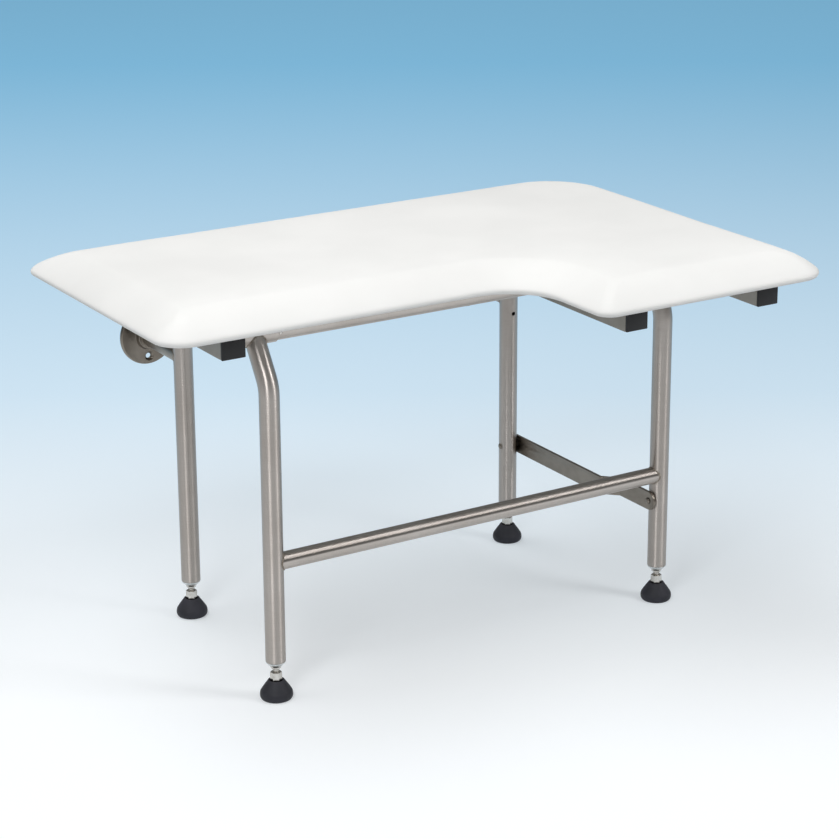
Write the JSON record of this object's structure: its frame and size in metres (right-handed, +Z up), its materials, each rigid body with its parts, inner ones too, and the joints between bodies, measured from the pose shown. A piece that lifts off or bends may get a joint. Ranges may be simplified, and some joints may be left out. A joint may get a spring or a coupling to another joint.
{
  "type": "fold down wall seat",
  "caption": "L-shaped padded seat hinged on two wall flanges, with a pair of front legs, a crossbar and a folding strap that swing down with it, and levelling feet.",
  "frame": {"origin": "on the floor, midway along the seat and midway between the wall face and the seat's front edge", "axes": "+Z up from the floor, +Y towards the wall, +X towards the deep end of the L-shaped seat"},
  "size_m": [0.856, 0.5854, 0.5131],
  "materials": {
    "satin_stainless": "satin polished stainless tube",
    "bright_stainless": "bright stainless fasteners",
    "black_plastic": "moulded black plastic",
    "black_rubber": "moulded black rubber",
    "white_foam": "smooth white self-skinned foam, satin",
    "seat_board": "plain white plastic board"
  },
  "bodies": {
    "wall_frame": {"left_wall_flange": "satin_stainless", "right_wall_flange": "satin_stainless", "left_stub_tube": "satin_stainless", "right_stub_tube": "satin_stainless", "rear_left_leg": "satin_stainless", "rear_right_leg": "satin_stainless", "rear_left_sleeve": "satin_stainless", "rear_right_sleeve": "satin_stainless", "rear_left_leg_plug": "bright_stainless", "rear_right_leg_plug": "bright_stainless", "rear_jam_nuts": "bright_stainless", "rear_strap_bolt": "bright_stainless", "rear_strap_nut": "bright_stainless"},
    "seat": {"seat_pad": "white_foam", "seat_board": "seat_board", "left_rail": "satin_stainless", "middle_rail": "satin_stainless", "right_rail": "satin_stainless", "left_front_cap": "black_plastic", "middle_front_cap": "black_plastic", "right_front_cap": "black_plastic", "rear_caps": "black_plastic", "seat_screws": "bright_stainless", "rear_pivot_tube": "satin_stainless", "front_pivot_tube": "satin_stainless", "rear_stop_rivets": "bright_stainless", "front_stop_rivets": "bright_stainless"},
    "front_legs": {"front_left_leg": "satin_stainless", "front_right_leg": "satin_stainless", "front_left_sleeve": "satin_stainless", "front_right_sleeve": "satin_stainless", "front_left_leg_plug": "bright_stainless", "front_right_leg_plug": "bright_stainless", "front_jam_nuts": "bright_stainless", "crossbar": "satin_stainless", "front_strap_bolt": "bright_stainless", "front_strap_nut": "bright_stainless"},
    "strap": {"folding_strap": "satin_stainless"},
    "rear_left_foot": {"rear_left_stud": "bright_stainless", "rear_left_rubber_foot": "black_rubber"},
    "rear_right_foot": {"rear_right_stud": "bright_stainless", "rear_right_rubber_foot": "black_rubber"},
    "front_left_foot": {"front_left_stud": "bright_stainless", "front_left_rubber_foot": "black_rubber"},
    "front_right_foot": {"front_right_stud": "bright_stainless", "front_right_rubber_foot": "black_rubber"}
  },
  "joints": [
    {"name": "seat_fold", "type": "hinge", "parent": "wall_frame", "child": "seat", "pos_m": [0, 0.2217, 0.463], "axis": [-1, 0, 0], "range_deg": [0, 85]},
    {"name": "front_leg_swing", "type": "hinge", "parent": "seat", "child": "front_legs", "pos_m": [0, -0.0673, 0.463], "axis": [1, 0, 0], "range_deg": [0, 85]},
    {"name": "strap_swing", "type": "hinge", "parent": "wall_frame", "child": "strap", "pos_m": [0.2521, 0.1847, 0.145], "axis": [-1, 0, 0], "range_deg": [0, 85]},
    {"name": "rear_left_foot_levelling", "type": "slide", "parent": "wall_frame", "child": "rear_left_foot", "axis": [0, 0, -1], "range_m": [-0.004, 0.015]},
    {"name": "rear_right_foot_levelling", "type": "slide", "parent": "wall_frame", "child": "rear_right_foot", "axis": [0, 0, -1], "range_m": [-0.004, 0.015]},
    {"name": "front_left_foot_levelling", "type": "slide", "parent": "front_legs", "child": "front_left_foot", "axis": [0, 0, -1], "range_m": [-0.004, 0.015]},
    {"name": "front_right_foot_levelling", "type": "slide", "parent": "front_legs", "child": "front_right_foot", "axis": [0, 0, -1], "range_m": [-0.004, 0.015]}
  ],
  "couplings": [
    {"joint": "front_leg_swing", "follows": "seat_fold", "ratio": 1},
    {"joint": "strap_swing", "follows": "seat_fold", "ratio": 1}
  ]
}
